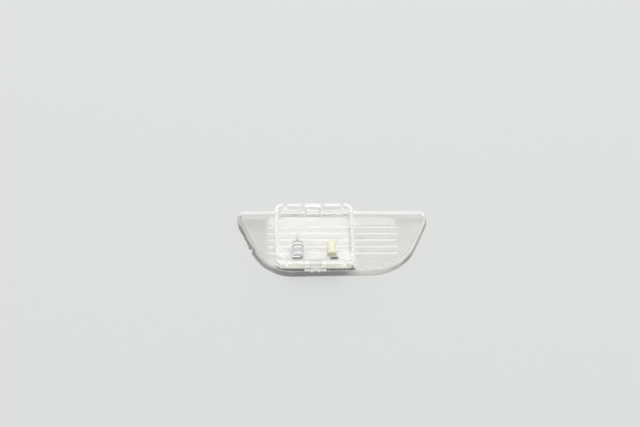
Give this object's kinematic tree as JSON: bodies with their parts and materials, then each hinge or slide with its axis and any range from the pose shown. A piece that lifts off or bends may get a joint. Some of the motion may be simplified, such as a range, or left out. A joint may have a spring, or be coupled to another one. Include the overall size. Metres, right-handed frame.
{
  "type": "interior light",
  "caption": "Clear boat-shaped fluted lens tray with a snap-in box housing that holds a small diode, its series resistor and contact blades; shown lying on its lens.",
  "frame": {"origin": "centre of the lens front face, which lies on Z = 0", "axes": "+X along the long straight edge of the lens, +Y towards that edge, +Z out of the lamp's back"},
  "size_m": [0.084, 0.033, 0.01],
  "materials": {
    "clear_lens": "clear polished",
    "clear_housing": "clear polished",
    "contact_metal": "dull plated",
    "resistor_lacquer": "satin lacquer",
    "tinned_wire": "tinned",
    "diode_resin": "tinted resin"
  },
  "bodies": {
    "root": {"lens": "clear_lens", "housing": "clear_housing", "left_contact_blade": "contact_metal", "right_contact_blade": "contact_metal", "resistor_body": "resistor_lacquer", "resistor_near_lead": "tinned_wire", "resistor_far_lead": "tinned_wire", "link_strip": "tinned_wire", "diode_body": "diode_resin", "diode_anode_lead": "tinned_wire", "diode_cathode_lead": "tinned_wire"}
  },
  "joints": []
}
